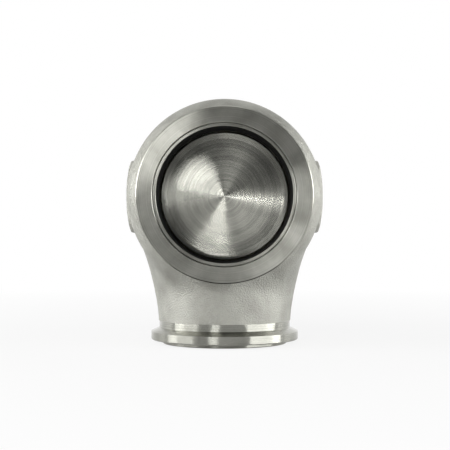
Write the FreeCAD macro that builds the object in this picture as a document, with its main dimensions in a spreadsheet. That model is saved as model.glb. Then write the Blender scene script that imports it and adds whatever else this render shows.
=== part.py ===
"""External turbo wastegate of the 60 mm valve class, with a V-band inlet and a V-band side outlet.

Row frame: the origin is the centre of the outlet's lip face and +Z runs up the outlet's axis.  The
valve axis is parallel to Y at axis_height, the inlet faces -Y and the actuator is on the +Y side.
Every piece is drawn on the valve axis, as its own Y axis, and its Placement lifts it to that height.
Stations along Y are measured from the outlet's axis.
"""

import FreeCAD, Part
import Sketcher
import math
import os
import re

# Driving dimensions in millimetres.  A name with "at" or "face" is a station along Y.
SIZES = {
    # valve body casting, outside
    "axis_height": 71.5,
    "inlet_face": -42.0,
    "inlet_rim": 40.75,
    "rim_thick": 4.0,
    "inlet_bevel": 1.5,
    "inlet_groove": 36.6,
    "edge_break": 0.4,
    "cast_step": 0.3,
    "shoulder_at": -32.0,
    "dome_at": -19.0,
    "barrel": 46.2,
    "barrel_end_at": 20.0,
    "rear_foot": 39.0,
    "rear_foot_at": 30.0,
    "mount_ring": 37.0,
    "mount_face": 34.0,
    "neck": 32.0,
    "neck_flare": 12.1,
    "neck_tuck": 2.5,
    "neck_head": 12.0,
    "neck_fillet": 2.0,
    "outlet_rim": 36.0,
    "outlet_bevel": 1.9,
    "outlet_groove_height": 11.3,
    "outlet_lip": 30.5,
    "lip_height": 2.0,
    "pad_half": 17.5,
    "pad_edge": 45.3,
    "pad_crest": 47.2,
    "pad_front_at": -15.5,
    "pad_back_at": 20.5,
    "pad_corner": 7.0,
    "pad_clear": 1.0,
    # valve body casting, inside
    "chamber": 41.0,
    "chamber_front_at": -14.0,
    "chamber_back_at": 18.0,
    "chamber_corner": 5.0,
    "boss": 13.0,
    "boss_at": 12.0,
    "outlet_bore": 28.0,
    "outlet_straight": 22.0,
    "passage_half": 31.0,
    "passage_depth": 15.5,
    # seat ring and valve
    "seat_bore": 31.0,
    "seat_bore_end_at": -20.5,
    "seat_relief": 0.5,
    "seat_outer": 32.35,
    "seat_lip": 32.7,
    "seat_lip_thick": 3.2,
    "seat_end_at": -11.0,
    "seat_land": 1.2,
    "seat_chamfer": 0.6,
    "seat_gap": 0.2,
    "fit_gap": 0.05,
    "pocket_gap": 0.3,
    "valve_face": -20.0,
    "valve_flat": 27.2,
    "valve_nose": 30.0,
    "valve_nose_drop": 1.3,
    "valve_edge": 32.3,
    "valve_edge_thick": 2.0,
    "valve_hub": 9.0,
    "hub_rise": 1.0,
    "hub_round": 4.0,
    "stem": 5.0,
    "stem_thread": 4.0,
    "stem_end_at": 64.0,
    "guide": 8.0,
    "guide_at": 10.5,
    "scraper_thick": 3.0,
    # actuator
    "gasket_thick": 2.0,
    "base_step": 4.0,
    "base_rim_at": 56.0,
    "parting_at": 64.0,
    "floor_at": 47.0,
    "base_waist": 40.0,
    "rim": 48.0,
    "air_room": 34.0,
    "room_corner": 2.0,
    "gland": 9.0,
    "gland_at": 41.5,
    "seal_thick": 4.3,
    "seal_lip": 1.0,
    "snap_bore": 6.5,
    "port_at": 51.5,
    "port": 4.3,
    "port_boss": 8.0,
    "port_face": 45.0,
    "port_chamfer": 0.6,
    "plug_length": 8.0,
    "plug_socket": 2.4,
    "plate_at": 48.0,
    "plate": 29.0,
    "plate_thick": 2.5,
    "thread_gap": 0.05,
    "cloth": 1.5,
    "cloth_rim": 39.2,
    "cloth_inset": 1.0,
    "cup": 29.5,
    "cup_wall": 1.7,
    "cup_tall": 7.0,
    "outer_ridge": 21.7,
    "inner_ridge": 15.4,
    "ridge_half": 0.6,
    "ridge_tall": 2.0,
    "oring_section": 0.7,
    "washer": 8.0,
    "washer_thick": 1.6,
    "nut_flat": 6.5,
    "nut_tall": 5.0,
    "cap_rim_thick": 8.0,
    "cap_foot": 37.5,
    "cap_head": 36.0,
    "cap_bore": 33.0,
    "cap_roof_at": 110.5,
    "cap_end_at": 118.5,
    "cap_round": 4.0,
    "foot_round": 1.0,
    "spring_post": 9.6,
    "spring_post_tall": 4.0,
    # screws
    "base_pitch": 26.0,
    "base_screws": 6,
    "base_shank": 3.0,
    "base_screw_head": 5.0,
    "base_screw_tall": 6.0,
    "base_screw_reach": 17.0,
    "tapped_depth": 12.0,
    "base_screw_socket": 2.5,
    "cap_pitch": 43.0,
    "cap_screws": 8,
    "cap_shank": 2.5,
    "cap_screw_head": 4.2,
    "cap_screw_tall": 5.0,
    "cap_screw_reach": 14.0,
    "cap_screw_socket": 2.0,
    "socket_depth": 2.6,
}
# The three springs: mean coil radius, wire radius and number of turns.
SPRINGS = {"outer_spring": (25.2, 2.2, 6.5), "middle_spring": (18.6, 1.8, 7.5), "inner_spring": (12.6, 1.4, 9.5)}
NECK_SECTIONS = 5
FLARE_POWER = 1.5
WIRE_SIDES = 10

# Stations that several pieces share, as expressions of the sheet.
BASE_FACE = "(mount_face + gasket_thick)"
CLOTH_AT = "(plate_at + plate_thick)"
CUP_AT = "(plate_at + plate_thick + cloth)"
CUP_FLOOR = "(plate_at + 2 * plate_thick + cloth)"
NUT_AT = "(plate_at + 2 * plate_thick + cloth + washer_thick)"
CAP_RIM_TOP = "(parting_at + cap_rim_thick)"
CAP_PHASE = "(180 deg / cap_screws)"

# The actuator's two ports: name, the plane square to the port, and the port's centre on that plane.
PORTS = [("side_port", "YZ_Plane", ("port_at", "0")), ("top_port", "XY_Plane", ("0", "port_at"))]

doc = FreeCAD.newDocument("Wastegate")
sheet = doc.addObject("Spreadsheet::Sheet", "Sizes")
for row, (alias, value) in enumerate(SIZES.items(), start=1):
    sheet.set(f"A{row}", alias)
    sheet.set(f"B{row}", str(value))
    sheet.setAlias(f"B{row}", alias)
doc.recompute()

pieces = {}


def in_sheet(expression):
    """The expression with each alias turned into a reference to the sheet's cell."""
    return re.sub(r"[a-z]\w*", lambda word: f"Sizes.{word[0]}" if word[0] in SIZES else word[0], str(expression))


def size(expression):
    """The number that an expression of aliases stands for now."""
    return float(sheet.evalExpression(in_sheet(expression)))


def bind(thing, **expressions):
    """Tie properties to expressions of the sheet; a double underscore stands for a dot."""
    for name, expression in expressions.items():
        thing.setExpression(name.replace("__", "."), in_sheet(expression))


def new_body(node):
    """An empty body on the valve axis, labelled with its node's name."""
    body = doc.addObject("PartDesign::Body", node)
    body.Label = node
    body.AllowCompound = True
    bind(body, Placement__Base__z="axis_height")
    pieces[node] = body
    return body


def datum(body, role):
    """One of the body's own origin planes or axes."""
    return [thing for thing in body.Origin.OriginFeatures if thing.Role == role][0]


def new_sketch(body, name, plane="XY_Plane", **offsets):
    """A sketch on an origin plane of its body, moved within it by bound offsets along x, y or z."""
    sketch = body.newObject("Sketcher::SketchObject", name)
    sketch.AttachmentSupport = [(datum(body, plane), "")]
    sketch.MapMode = "FlatFace"
    for direction, expression in offsets.items():
        start = sketch.AttachmentOffset
        setattr(start.Base, direction, size(expression))
        sketch.AttachmentOffset = start
        sketch.setExpression(f"AttachmentOffset.Base.{direction}", in_sheet(expression))
    return sketch


def constrain(sketch, kind, *targets, expression):
    """A driving constraint whose value is an expression of the sheet."""
    index = sketch.addConstraint(Sketcher.Constraint(kind, *targets, size(expression)))
    sketch.setExpression(f"Constraints[{index}]", in_sheet(expression))


def pin_point(sketch, geometry, end, across, along):
    """Hold a point at two bound distances from the sketch's origin."""
    constrain(sketch, "DistanceX", -1, 1, geometry, end, expression=across)
    constrain(sketch, "DistanceY", -1, 1, geometry, end, expression=along)


def arc_between(start, finish, radius, side):
    """The arc from start to finish, its centre to the left (side 1) or right (side -1) of the way."""
    chord = finish - start
    left = FreeCAD.Vector(-chord.y, chord.x, 0).normalize()
    rise = math.sqrt(max(radius ** 2 - chord.Length ** 2 / 4, 0))
    centre = (start + finish) / 2 + left * side * rise
    first, last = (start, finish) if side > 0 else (finish, start)
    angles = [math.atan2(point.y - centre.y, point.x - centre.x) for point in (first, last)]
    return Part.ArcOfCircle(Part.Circle(centre, FreeCAD.Vector(0, 0, 1), radius), *angles)


def closed_line(sketch, corners):
    """Draw a closed outline.  A corner is (x, y), or (x, y, radius, side) where an arc leads on from it."""
    places = [FreeCAD.Vector(size(corner[0]), size(corner[1]), 0) for corner in corners]
    ends = []
    for index, corner in enumerate(corners):
        start = places[index]
        finish = places[(index + 1) % len(places)]
        if len(corner) == 4:
            sketch.addGeometry(arc_between(start, finish, size(corner[2]), corner[3]), False)
            ends.append((1, 2) if corner[3] > 0 else (2, 1))
        else:
            sketch.addGeometry(Part.LineSegment(start, finish), False)
            ends.append((1, 2))
    joins = []
    for index in range(len(corners)):
        following = (index + 1) % len(corners)
        joins.append(Sketcher.Constraint("Coincident", index, ends[index][1], following, ends[following][0]))
    sketch.addConstraint(joins)
    for index, corner in enumerate(corners):
        pin_point(sketch, index, ends[index][0], corner[0], corner[1])
        if len(corner) == 4:
            constrain(sketch, "Radius", index, expression=corner[2])
    return sketch


def circle(sketch, radius, across="0", along="0"):
    """Draw a circle with its centre and radius bound."""
    index = sketch.addGeometry(Part.Circle(FreeCAD.Vector(size(across), size(along), 0),
                                           FreeCAD.Vector(0, 0, 1), size(radius)), False)
    pin_point(sketch, index, 3, across, along)
    constrain(sketch, "Radius", index, expression=radius)
    return sketch


def ellipse(sketch, half_x, half_y, along="0"):
    """Draw an ellipse on the sketch's axes, its longer half axis across, its centre moved along y."""
    centre = FreeCAD.Vector(0, size(along), 0)
    longer = centre + FreeCAD.Vector(size(half_x), 0, 0)
    shorter = centre + FreeCAD.Vector(0, size(half_y), 0)
    sketch.addGeometry(Part.Ellipse(longer, shorter, centre), False)
    sketch.exposeInternalGeometry(0)
    sketch.addConstraint(Sketcher.Constraint("Horizontal", 1))
    pin_point(sketch, 0, 3, "0", along)
    constrain(sketch, "Distance", 1, expression=f"2 * ({half_x})")
    constrain(sketch, "Distance", 2, expression=f"2 * ({half_y})")
    return sketch


def turn(body, kind, name, corners, plane="XY_Plane", **offsets):
    """Revolve an outline about its sketch's own vertical axis: kind is Revolution or Groove."""
    sketch = closed_line(new_sketch(body, f"{name}_outline", plane, **offsets), corners)
    feature = body.newObject(f"PartDesign::{kind}", name)
    feature.Profile = sketch
    feature.ReferenceAxis = (sketch, ["V_Axis"])
    feature.Angle = 360
    sketch.Visibility = False
    return feature


def extrude(body, kind, name, sketch, length, reverse=False, both_ways=False):
    """Pad or Pocket a sketch over a bound length."""
    feature = body.newObject(f"PartDesign::{kind}", name)
    feature.Profile = sketch
    bind(feature, Length=length)
    feature.Reversed = reverse
    feature.Midplane = both_ways
    return feature


def loft(body, kind, name, sketches):
    """AdditiveLoft or SubtractiveLoft through sketches."""
    feature = body.newObject(f"PartDesign::{kind}", name)
    feature.Profile = sketches[0]
    feature.Sections = sketches[1:]
    return feature


def around(body, name, originals, count):
    """Repeat features about the valve axis and make the result the body's tip."""
    doc.recompute()
    pattern = body.newObject("PartDesign::PolarPattern", name)
    pattern.Originals = originals
    pattern.Axis = (datum(body, "Y_Axis"), [""])
    pattern.Angle = 360
    bind(pattern, Occurrences=count)
    body.Tip = pattern
    return pattern


def washer_profile(inner, outer, near, far, bevel="edge_break"):
    """The section of a ring from near to far along the axis, with its outer edges broken."""
    return [
        (inner, near),
        (f"{outer} - {bevel}", near),
        (outer, f"{near} + {bevel}"),
        (outer, f"{far} - {bevel}"),
        (f"{outer} - {bevel}", far),
        (inner, far),
    ]


def tangent_rise(across, along):
    """Radius of an arc that starts tangent to a cylinder and moves in by across over a length along."""
    return f"(({across})^2 + ({along})^2) / (2 * ({across}))"


def junction_edges(shape):
    """Names of the edges where a lofted face meets a turned one."""
    names = []
    for number, edge in enumerate(shape.Edges, start=1):
        kinds = {face.Surface.TypeId for face in shape.ancestorsOfType(edge, Part.Face)}
        if "Part::GeomBSplineSurface" in kinds and not kinds <= {"Part::GeomBSplineSurface", "Part::GeomPlane"}:
            names.append(f"Edge{number}")
    return names


def make_valve_body():
    """Cast stainless body: V-band inlet, barrel, flaring neck, V-band outlet and two bare side pads."""
    body = new_body("valve_body")
    front_arc = tangent_rise("barrel - inlet_groove - cast_step", "dome_at - shoulder_at")
    rear_arc = tangent_rise("barrel - rear_foot", "rear_foot_at - barrel_end_at")
    turn(body, "Revolution", "barrel_form", [
        ("0", "inlet_face"),
        ("inlet_rim - edge_break", "inlet_face"),
        ("inlet_rim", "inlet_face + edge_break"),
        ("inlet_rim", "inlet_face + rim_thick"),
        ("inlet_groove", "inlet_face + rim_thick + inlet_bevel"),
        ("inlet_groove", "shoulder_at"),
        ("inlet_groove + cast_step", "shoulder_at", front_arc, 1),
        ("barrel", "dome_at"),
        ("barrel", "barrel_end_at", rear_arc, 1),
        ("rear_foot", "rear_foot_at"),
        ("mount_ring", "rear_foot_at"),
        ("mount_ring", "mount_face - edge_break"),
        ("mount_ring - edge_break", "mount_face"),
        ("0", "mount_face"),
    ])
    foot = "(outlet_groove_height - axis_height)"
    sections = []
    for step in range(NECK_SECTIONS):
        share = f"({step} / {NECK_SECTIONS - 1})"
        flare = f"neck_flare * {share}^{FLARE_POWER}"
        tuck = f"neck_tuck * {share}^{FLARE_POWER}"
        height = f"{foot} + (-neck_head - {foot}) * {share}"
        section = new_sketch(body, f"neck_section_{step}", "XY_Plane", z=height)
        if step:
            ellipse(section, f"neck + cast_step + {flare}", f"neck + cast_step - {tuck}")
        else:
            circle(section, "neck + cast_step")
        sections.append(section)
    neck = loft(body, "AdditiveLoft", "neck_form", sections)
    doc.recompute()
    fillet = body.newObject("PartDesign::Fillet", "neck_fillet_form")
    fillet.Base = (neck, junction_edges(neck.Shape))
    bind(fillet, Radius="neck_fillet")
    turn(body, "Revolution", "outlet_flange", [
        ("0", "-axis_height"),
        ("outlet_lip - edge_break", "-axis_height"),
        ("outlet_lip", "edge_break - axis_height"),
        ("outlet_lip", "lip_height - axis_height"),
        ("outlet_rim - edge_break", "lip_height - axis_height"),
        ("outlet_rim", "lip_height + edge_break - axis_height"),
        ("outlet_rim", "lip_height + rim_thick - axis_height"),
        ("neck", "lip_height + rim_thick + outlet_bevel - axis_height"),
        ("neck", f"{foot} + rim_thick"),
        ("0", f"{foot} + rim_thick"),
    ], "XZ_Plane")
    add_side_pads(body)
    turn(body, "Groove", "chamber_form", [
        ("0", "inlet_face"),
        ("seat_lip + pocket_gap + edge_break", "inlet_face"),
        ("seat_lip + pocket_gap", "inlet_face + edge_break"),
        ("seat_lip + pocket_gap", "inlet_face + seat_lip_thick"),
        ("seat_outer + fit_gap", "inlet_face + seat_lip_thick"),
        ("seat_outer + fit_gap", "chamber_front_at"),
        ("chamber - chamber_corner", "chamber_front_at", "chamber_corner", 1),
        ("chamber", "chamber_front_at + chamber_corner"),
        ("chamber", "chamber_back_at - chamber_corner", "chamber_corner", 1),
        ("chamber - chamber_corner", "chamber_back_at"),
        ("boss", "chamber_back_at"),
        ("boss", "boss_at + edge_break"),
        ("boss - edge_break", "boss_at"),
        ("guide + fit_gap", "boss_at"),
        ("guide + fit_gap", "mount_face"),
        ("0", "mount_face"),
    ])
    outlet_edge = circle(new_sketch(body, "outlet_bore_edge", z="-axis_height"), "outlet_bore")
    extrude(body, "Pocket", "outlet_bore_cut", outlet_edge, "outlet_straight", reverse=True)
    bore_end = circle(new_sketch(body, "passage_start", z="outlet_straight - axis_height"), "outlet_bore")
    chamber_end = new_sketch(body, "passage_end", z="-chamber + 2 * chamber_corner")
    ellipse(chamber_end, "passage_half", "passage_depth", "(chamber_front_at + chamber_back_at) / 2")
    loft(body, "SubtractiveLoft", "outlet_passage", [bore_end, chamber_end])
    tapped = circle(new_sketch(body, "tapped_hole", "XZ_Plane", z="-mount_face"), "base_shank + fit_gap", "base_pitch")
    hole = extrude(body, "Pocket", "tapped_hole_cut", tapped, "tapped_depth", reverse=True)
    around(body, "tapped_holes", [hole], "base_screws")


def add_side_pads(body):
    """Two flat-cornered pads that stand proud of the barrel's sides, slightly crowned."""
    back, front, corner = "pad_back_at", "pad_front_at", "pad_corner"
    outline = closed_line(new_sketch(body, "pad_outline", "YZ_Plane"), [
        (f"{front} + {corner}", "-pad_half"),
        (f"{back} - {corner}", "-pad_half", corner, 1),
        (back, f"{corner} - pad_half"),
        (back, f"pad_half - {corner}", corner, 1),
        (f"{back} - {corner}", "pad_half"),
        (f"{front} + {corner}", "pad_half", corner, 1),
        (front, f"pad_half - {corner}"),
        (front, f"{corner} - pad_half", corner, 1),
    ])
    extrude(body, "Pad", "pad_block", outline, "2 * pad_crest + 2 * edge_break", both_ways=True)
    crown = tangent_rise("pad_crest - pad_edge", "pad_half")
    clear = "pad_crest + pad_clear"
    for name, side, turn_side in (("right", "", 1), ("left", "-", -1)):
        cut = closed_line(new_sketch(body, f"pad_crown_{name}", "XZ_Plane"), [
            (f"{side}pad_edge", "-pad_half", crown, turn_side),
            (f"{side}pad_edge", "pad_half"),
            (f"{side}pad_edge", "pad_half + pad_clear"),
            (f"{side}({clear})", "pad_half + pad_clear"),
            (f"{side}({clear})", "-pad_half - pad_clear"),
            (f"{side}pad_edge", "-pad_half - pad_clear"),
        ])
        extrude(body, "Pocket", f"pad_crown_cut_{name}", cut, "4 * pad_back_at", both_ways=True)


def make_seat_ring():
    """Removable seat insert: front lip in the inlet face, sleeve, relief, and a 45 degree seat at its rear end."""
    body = new_body("seat_ring")
    land_foot = "(seat_land - seat_relief)"
    turn(body, "Revolution", "ring_form", [
        ("seat_bore", "inlet_face + seat_chamfer"),
        ("seat_bore + seat_chamfer", "inlet_face"),
        ("seat_lip - edge_break / 2", "inlet_face"),
        ("seat_lip", "inlet_face + edge_break / 2"),
        ("seat_lip", "inlet_face + seat_lip_thick"),
        ("seat_outer", "inlet_face + seat_lip_thick"),
        ("seat_outer", "seat_end_at"),
        ("seat_bore + seat_land", "seat_end_at"),
        ("seat_bore + seat_relief", f"seat_end_at - {land_foot}"),
        ("seat_bore + seat_relief", "seat_bore_end_at"),
        ("seat_bore", "seat_bore_end_at"),
    ])


def make_valve():
    """One-piece poppet: flat nose that fills the seat ring's bore, 45 degree seat, and a long stem."""
    body = new_body("valve")
    seat_back = "(seat_end_at + seat_gap)"
    cone = "(valve_edge - seat_bore - seat_land)"
    edge_at = f"({seat_back} + {cone})"
    edge_end = f"({edge_at} + valve_edge_thick)"
    turn(body, "Revolution", "poppet_form", [
        ("0", "valve_face"),
        ("valve_flat", "valve_face"),
        ("valve_nose", "valve_face + valve_nose_drop"),
        ("valve_nose", f"{edge_at} - valve_edge + valve_nose"),
        ("valve_edge", edge_at),
        ("valve_edge", edge_end),
        ("valve_hub", f"{edge_end} + hub_rise", "hub_round", -1),
        ("stem", f"{edge_end} + hub_rise + hub_round"),
        ("stem", "plate_at"),
        ("stem_thread", "plate_at"),
        ("stem_thread", "stem_end_at - edge_break"),
        ("stem_thread - edge_break", "stem_end_at"),
        ("0", "stem_end_at"),
    ])


def make_guide_parts():
    """Bronze valve guide in the body's boss, with the carbon scraper ring behind it."""
    scraper_at = "(mount_face - scraper_thick)"
    guide = new_body("valve_guide")
    turn(guide, "Revolution", "guide_form",
         washer_profile("stem + fit_gap", "guide", "guide_at", scraper_at))
    scraper = new_body("stem_scraper")
    turn(scraper, "Revolution", "scraper_form",
         washer_profile("stem + fit_gap", "guide", scraper_at, "mount_face"))


def make_heat_gasket():
    """Flat ring between the hot body and the actuator, pierced for the screws."""
    body = new_body("heat_gasket")
    disc = circle(circle(new_sketch(body, "gasket_edge", "XZ_Plane", z="-mount_face"), "mount_ring - edge_break"),
                  "guide")
    extrude(body, "Pad", "gasket_form", disc, "gasket_thick", reverse=True)
    doc.recompute()
    hole_edge = circle(new_sketch(body, "gasket_hole", "XZ_Plane", z="-mount_face"), "base_shank + 4 * fit_gap",
                       "base_pitch")
    hole = extrude(body, "Pocket", "gasket_hole_cut", hole_edge, "gasket_thick", reverse=False)
    around(body, "gasket_holes", [hole], "base_screws")


def hexagon(sketch, half_flats, across="0", along="0"):
    """Draw a hexagon from half its width across flats."""
    corners = []
    for step in range(6):
        angle = f"{60 * step} deg"
        corners.append((f"{across} + {half_flats} / cos(30 deg) * cos({angle})",
                        f"{along} + {half_flats} / cos(30 deg) * sin({angle})"))
    return closed_line(sketch, corners)


def screw_group(node, pitch, count, phase, shank, head, head_tall, reach, socket, seat_at):
    """Socket head screws on a circle about the valve axis, seated at one station, heads to the rear."""
    body = new_body(node)
    across = f"{pitch} * cos({phase})"
    along = f"{pitch} * sin({phase})"
    form = turn(body, "Revolution", f"{node}_form", [
        ("0", f"{seat_at} - {reach}"),
        (f"{shank} - edge_break", f"{seat_at} - {reach}"),
        (shank, f"{seat_at} - {reach} + edge_break"),
        (shank, seat_at),
        (head, seat_at),
        (head, f"{seat_at} + {head_tall} - edge_break"),
        (f"{head} - edge_break", f"{seat_at} + {head_tall}"),
        ("0", f"{seat_at} + {head_tall}"),
    ], x=across, z=along)
    doc.recompute()
    face = new_sketch(body, f"{node}_socket_edge", "XZ_Plane", z=f"-({seat_at} + {head_tall})")
    hexagon(face, socket, across, along)
    recess = extrude(body, "Pocket", f"{node}_socket", face, "socket_depth", reverse=True)
    around(body, f"{node}_circle", [form, recess], count)


def drill_circle(body, name, radius, pitch, phase, count, from_face, depth):
    """Holes on a circle about the valve axis, cut forward from a station."""
    start = new_sketch(body, f"{name}_edge", "XZ_Plane", z=f"-({from_face})")
    circle(start, radius, f"{pitch} * cos({phase})", f"{pitch} * sin({phase})")
    hole = extrude(body, "Pocket", f"{name}_cut", start, depth, reverse=True)
    around(body, f"{name}_circle", [hole], count)


def make_actuator_base():
    """Lower half of the actuator: thick floor with the stem gland, open air room, side port and top port."""
    body = new_body("actuator_base")
    turn(body, "Revolution", "base_form", [
        ("0", BASE_FACE),
        ("mount_ring - edge_break", BASE_FACE),
        ("mount_ring", f"{BASE_FACE} + edge_break"),
        ("mount_ring", f"{BASE_FACE} + base_step"),
        ("base_waist", "floor_at - base_step / 2"),
        ("base_waist", "base_rim_at - base_step", "base_step", -1),
        ("base_waist + base_step", "base_rim_at"),
        ("rim - edge_break", "base_rim_at"),
        ("rim", "base_rim_at + edge_break"),
        ("rim", "parting_at"),
        ("0", "parting_at"),
    ])
    for name, plane, centre in PORTS:
        boss = circle(new_sketch(body, f"{name}_boss_edge", plane), "port_boss", *centre)
        extrude(body, "Pad", f"{name}_boss", boss, "port_face")
    turn(body, "Groove", "air_room_cut", [
        ("0", "parting_at"),
        ("air_room", "parting_at"),
        ("air_room", "floor_at + room_corner", "room_corner", -1),
        ("air_room - room_corner", "floor_at"),
        ("gland", "floor_at"),
        ("gland", "gland_at"),
        ("stem + 3 * fit_gap", "gland_at"),
        ("stem + 3 * fit_gap", BASE_FACE),
        ("0", BASE_FACE),
    ])
    for name, plane, centre in PORTS:
        hole = circle(new_sketch(body, f"{name}_edge", plane), "port", *centre)
        extrude(body, "Pocket", f"{name}_cut", hole, "rim", reverse=True)
    drill_circle(body, "counterbore", "base_screw_head + 4 * fit_gap", "base_pitch", "0 deg", "base_screws",
                 "floor_at", "base_screw_tall")
    drill_circle(body, "base_hole", "base_shank + 4 * fit_gap", "base_pitch", "0 deg", "base_screws",
                 "floor_at", "floor_at - mount_face")
    drill_circle(body, "rim_hole", "cap_shank + fit_gap", "cap_pitch", CAP_PHASE, "cap_screws",
                 "parting_at", "parting_at - base_rim_at")


def make_port_plug():
    """Taper plug with a hexagon socket, in the top port, which is not piped."""
    body = new_body("port_plug")
    plug_top = "port_face - edge_break"
    foot = circle(new_sketch(body, "plug_edge", z=f"{plug_top} - plug_length"), "port - fit_gap", "0", "port_at")
    extrude(body, "Pad", "plug_form", foot, "plug_length")
    doc.recompute()
    face = hexagon(new_sketch(body, "plug_socket_edge", z=plug_top), "plug_socket", "0", "port_at")
    body.Tip = extrude(body, "Pocket", "plug_socket_cut", face, "plug_length / 2")


def make_gland_parts():
    """Stem seal in the base's gland and the snap ring that keeps it there."""
    seal_end = "(gland_at + seal_thick)"
    seal = new_body("stem_seal")
    turn(seal, "Revolution", "seal_form", [
        ("stem + fit_gap", "gland_at"),
        ("gland - fit_gap", "gland_at"),
        ("gland - fit_gap", seal_end),
        ("stem + 3 * seal_lip", seal_end),
        ("stem + 2 * seal_lip", f"{seal_end} - seal_thick / 2"),
        ("stem + seal_lip", seal_end),
        ("stem + fit_gap", f"{seal_end} - seal_lip"),
    ])
    ring = new_body("snap_ring")
    turn(ring, "Revolution", "snap_ring_form", [
        ("snap_bore", seal_end),
        ("gland - fit_gap", seal_end),
        ("gland - fit_gap", "floor_at"),
        ("snap_bore", "floor_at"),
    ])


def make_diaphragm():
    """Moulded top-hat diaphragm: clamped rim, sloping wall, and a disc held between the retainers."""
    body = new_body("diaphragm")
    turn(body, "Revolution", "diaphragm_form", [
        ("stem_thread + thread_gap", CLOTH_AT),
        ("cup + cloth", CLOTH_AT),
        ("air_room - cloth_inset", "parting_at"),
        ("cloth_rim", "parting_at"),
        ("cloth_rim", "parting_at + cloth"),
        ("air_room - cloth_inset - cloth", "parting_at + cloth"),
        ("cup + cloth / 4", CUP_AT),
        ("stem_thread + thread_gap", CUP_AT),
    ])


def make_retainers():
    """Plates that grip the diaphragm: a flat one under it and a cup over it that seats the springs."""
    lower = new_body("lower_retainer")
    turn(lower, "Revolution", "lower_retainer_form", [
        ("stem_thread + thread_gap", "plate_at"),
        ("plate - edge_break", "plate_at"),
        ("plate", "plate_at + edge_break"),
        ("plate", CLOTH_AT),
        ("stem_thread + thread_gap + 2 * oring_section", CLOTH_AT),
        ("stem_thread + thread_gap + 2 * oring_section", f"{CLOTH_AT} - 2 * oring_section"),
        ("stem_thread + thread_gap", f"{CLOTH_AT} - 2 * oring_section"),
    ])
    upper = new_body("upper_retainer")
    ridge_top = f"{CUP_FLOOR} + ridge_tall"
    corners = [("stem_thread + thread_gap", CUP_FLOOR), ("stem_thread + thread_gap", CUP_AT)]
    corners += [("cup", CUP_AT), ("cup", f"{CUP_AT} + cup_tall")]
    corners += [("cup - cup_wall", f"{CUP_AT} + cup_tall"), ("cup - cup_wall", CUP_FLOOR)]
    for ridge in ("outer_ridge", "inner_ridge"):
        corners += [(f"{ridge} + ridge_half", CUP_FLOOR), (f"{ridge} + ridge_half", ridge_top)]
        corners += [(f"{ridge} - ridge_half", ridge_top), (f"{ridge} - ridge_half", CUP_FLOOR)]
    turn(upper, "Revolution", "upper_retainer_form", corners)


def make_stem_fasteners():
    """O-ring, washer and nut that seal and clamp the retainers on the stem's thread."""
    oring = new_body("retainer_oring")
    section = new_sketch(oring, "oring_section_edge")
    circle(section, "oring_section", "stem_thread + thread_gap + oring_section", f"{CLOTH_AT} - oring_section")
    ring = oring.newObject("PartDesign::Revolution", "oring_form")
    ring.Profile = section
    ring.ReferenceAxis = (section, ["V_Axis"])
    ring.Angle = 360
    washer = new_body("stem_washer")
    turn(washer, "Revolution", "washer_form",
         washer_profile("stem_thread + thread_gap", "washer", CUP_FLOOR, NUT_AT, "edge_break / 2"))
    nut = new_body("stem_nut")
    face = hexagon(new_sketch(nut, "nut_edge", "XZ_Plane", z=f"-{NUT_AT}"), "nut_flat")
    circle(face, "stem_thread + thread_gap")
    extrude(nut, "Pad", "nut_form", face, "nut_tall", reverse=True)


def make_springs():
    """Nested compression springs between the cup's floor and the cap's roof, their wire many-sided."""
    for node, (coil, wire, turns) in SPRINGS.items():
        body = new_body(node)
        start = f"{CUP_FLOOR} + {wire}"
        corners = []
        for step in range(WIRE_SIDES):
            angle = f"{360 * (step + 0.5) / WIRE_SIDES} deg"
            corners.append((f"{coil} + {wire} * cos({angle})", f"{start} + {wire} * sin({angle})"))
        section = closed_line(new_sketch(body, f"{node}_wire"), corners)
        helix = body.newObject("PartDesign::AdditiveHelix", f"{node}_form")
        helix.Profile = section
        helix.ReferenceAxis = (section, ["V_Axis"])
        helix.Mode = "height-turns-angle"
        helix.Turns = turns
        bind(helix, Height=f"cap_roof_at - {CUP_FLOOR} - 2 * {wire}")


def make_actuator_cap():
    """Upper half of the actuator: bolted rim, tapering can, closed roof with a centring post and port."""
    body = new_body("actuator_cap")
    turn(body, "Revolution", "cap_form", [
        ("cloth_rim + fit_gap", "parting_at"),
        ("rim", "parting_at"),
        ("rim", f"{CAP_RIM_TOP} - edge_break"),
        ("rim - edge_break", CAP_RIM_TOP),
        ("cap_foot + foot_round", CAP_RIM_TOP, "foot_round", -1),
        ("cap_foot", f"{CAP_RIM_TOP} + foot_round"),
        ("cap_head", "cap_end_at - cap_round", "cap_round", 1),
        ("cap_head - cap_round", "cap_end_at"),
        ("port + port_chamfer", "cap_end_at"),
        ("port", "cap_end_at - port_chamfer"),
        ("port", "cap_roof_at - spring_post_tall"),
        ("spring_post", "cap_roof_at - spring_post_tall"),
        ("spring_post", "cap_roof_at"),
        ("cap_bore - cap_round", "cap_roof_at", "cap_round", -1),
        ("cap_bore", "cap_roof_at - cap_round"),
        ("cap_bore", "parting_at + cloth"),
        ("cloth_rim + fit_gap", "parting_at + cloth"),
    ])
    doc.recompute()
    drill_circle(body, "cap_hole", "cap_shank + 2 * fit_gap", "cap_pitch", CAP_PHASE, "cap_screws",
                 CAP_RIM_TOP, "cap_rim_thick")


def make_screws():
    """Screws that hold the base to the body and the cap to the base."""
    screw_group("base_screws", "base_pitch", "base_screws", "0 deg", "base_shank", "base_screw_head",
                "base_screw_tall", "base_screw_reach", "base_screw_socket", "(floor_at - base_screw_tall)")
    screw_group("cap_screws", "cap_pitch", "cap_screws", CAP_PHASE, "cap_shank", "cap_screw_head",
                "cap_screw_tall", "cap_screw_reach", "cap_screw_socket", CAP_RIM_TOP)


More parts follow.
